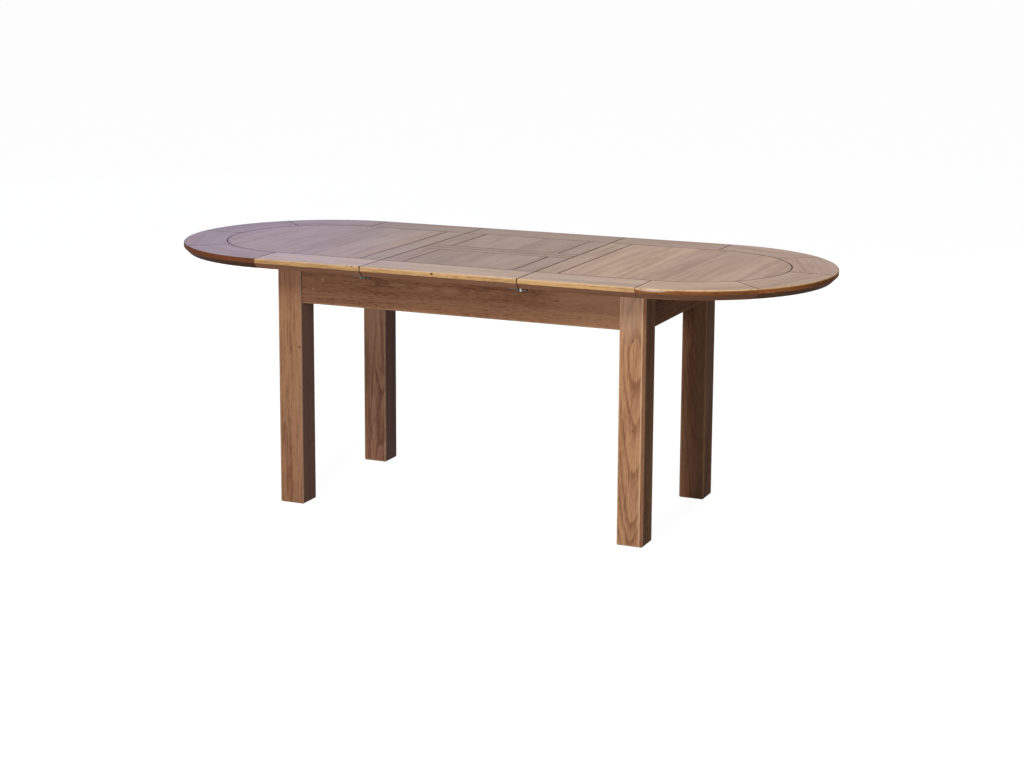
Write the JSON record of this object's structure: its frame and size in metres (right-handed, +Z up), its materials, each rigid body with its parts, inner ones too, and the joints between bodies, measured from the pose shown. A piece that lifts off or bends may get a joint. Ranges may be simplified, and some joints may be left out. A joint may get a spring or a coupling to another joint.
{
  "type": "extending dining table",
  "caption": "Oval oak extending dining table on square legs, with sliding half-tops, a folding centre leaf that lifts out, and bolt catches under the seams.",
  "frame": {"origin": "on the floor under the middle of the centre leaf", "axes": "+X along the table towards its right-hand end, -Y to the front, +Z up"},
  "size_m": [2.1, 0.89, 0.78],
  "materials": {
    "oak_top": "satin lacquer",
    "oak_base": "satin lacquer",
    "inner_wood": "planed",
    "slide_steel": "zinc plated",
    "zinc_steel": "zinc plated",
    "hinge_brass": "plain",
    "knob_plastic": "moulded"
  },
  "bodies": {
    "base": {"back_apron": "oak_base", "back_left_leg": "oak_base", "back_right_leg": "oak_base", "corner_blocks": "inner_wood", "corner_bolts": "zinc_steel", "front_apron": "oak_base", "front_left_leg": "oak_base", "front_right_leg": "oak_base", "left_apron": "oak_base", "left_cross_rail": "inner_wood", "right_apron": "oak_base", "right_cross_rail": "inner_wood", "slide_tracks": "slide_steel", "stow_slats": "inner_wood"},
    "left_top": {"left_back_rail": "oak_top", "left_back_ring": "oak_top", "left_back_tip": "oak_top", "left_catch_keepers": "zinc_steel", "left_front_rail": "oak_top", "left_front_ring": "oak_top", "left_front_tip": "oak_top", "left_leaf_supports": "slide_steel", "left_panel": "oak_top", "left_runners": "slide_steel", "left_seam_stile": "oak_top"},
    "right_top": {"right_back_rail": "oak_top", "right_back_ring": "oak_top", "right_back_tip": "oak_top", "right_catch_bodies": "zinc_steel", "right_front_rail": "oak_top", "right_front_ring": "oak_top", "right_front_tip": "oak_top", "right_leaf_supports": "slide_steel", "right_panel": "oak_top", "right_runners": "slide_steel", "right_seam_stile": "oak_top"},
    "leaf_front": {"leaf_front_catch_body": "zinc_steel", "leaf_front_catch_keeper": "zinc_steel", "leaf_front_fold_rail": "oak_top", "leaf_front_hinges": "hinge_brass", "leaf_front_left_stile": "oak_top", "leaf_front_outer_rail": "oak_top", "leaf_front_panel": "oak_top", "leaf_front_right_stile": "oak_top"},
    "leaf_back": {"leaf_back_catch_body": "zinc_steel", "leaf_back_catch_keeper": "zinc_steel", "leaf_back_fold_rail": "oak_top", "leaf_back_hinges": "hinge_brass", "leaf_back_left_stile": "oak_top", "leaf_back_outer_rail": "oak_top", "leaf_back_panel": "oak_top", "leaf_back_right_stile": "oak_top"},
    "left_back_catch": {"left_back_catch_bolt": "zinc_steel", "left_back_catch_knob": "knob_plastic"},
    "left_front_catch": {"left_front_catch_bolt": "zinc_steel", "left_front_catch_knob": "knob_plastic"},
    "right_back_catch": {"right_back_catch_bolt": "zinc_steel", "right_back_catch_knob": "knob_plastic"},
    "right_front_catch": {"right_front_catch_bolt": "zinc_steel", "right_front_catch_knob": "knob_plastic"}
  },
  "joints": [
    {"name": "left_top_slide", "type": "slide", "parent": "base", "child": "left_top", "axis": [-1, 0, 0], "range_m": [0, 0.05]},
    {"name": "right_top_slide", "type": "slide", "parent": "base", "child": "right_top", "axis": [1, 0, 0], "range_m": [0, 0.05]},
    {"name": "leaf_lift", "type": "slide", "parent": "base", "child": "leaf_front", "axis": [0, 0, 1], "range_m": [0, 0.2]},
    {"name": "leaf_fold", "type": "hinge", "parent": "leaf_front", "child": "leaf_back", "pos_m": [0, 0, 0.7802], "axis": [1, 0, 0], "range_deg": [0, 180]},
    {"name": "left_front_catch_slide", "type": "slide", "parent": "leaf_front", "child": "left_front_catch", "axis": [-1, 0, 0], "range_m": [0, 0.009]},
    {"name": "left_back_catch_slide", "type": "slide", "parent": "leaf_back", "child": "left_back_catch", "axis": [-1, 0, 0], "range_m": [0, 0.009]},
    {"name": "right_front_catch_slide", "type": "slide", "parent": "right_top", "child": "right_front_catch", "axis": [-1, 0, 0], "range_m": [0, 0.009]},
    {"name": "right_back_catch_slide", "type": "slide", "parent": "right_top", "child": "right_back_catch", "axis": [-1, 0, 0], "range_m": [0, 0.009]}
  ]
}
